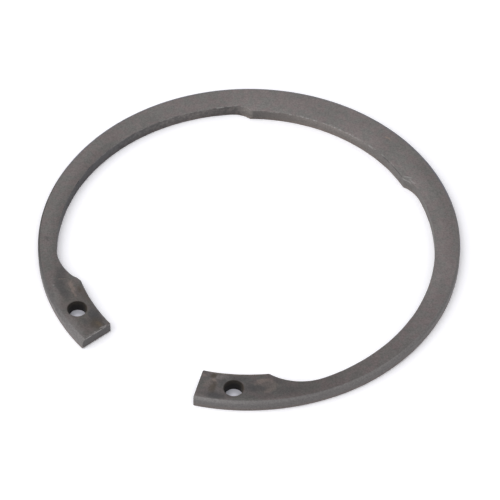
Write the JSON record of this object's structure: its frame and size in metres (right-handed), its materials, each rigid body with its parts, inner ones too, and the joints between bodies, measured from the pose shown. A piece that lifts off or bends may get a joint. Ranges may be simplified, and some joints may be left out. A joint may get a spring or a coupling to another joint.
{
  "type": "circlip retaining ring",
  "caption": "Flat open spring ring for a groove inside a bore, with a tapered band, a wide land opposite the gap and a drilled lug at each end for pliers.",
  "frame": {"origin": "centre of the ring's rim, in the plane of the lower face", "axes": "+Z along the ring's axis, out of the face with the rolled rim edge; the gap between the lugs faces -Y and the wide land faces +Y"},
  "size_m": [0.0874, 0.0854, 0.0025],
  "materials": {
    "phosphated_spring_steel": "matt dark grey phosphate on tumbled spring steel, darker mottled stains on the lugs, edges rubbed paler"
  },
  "bodies": {
    "root": {"retaining_ring": "phosphated_spring_steel"}
  },
  "joints": []
}
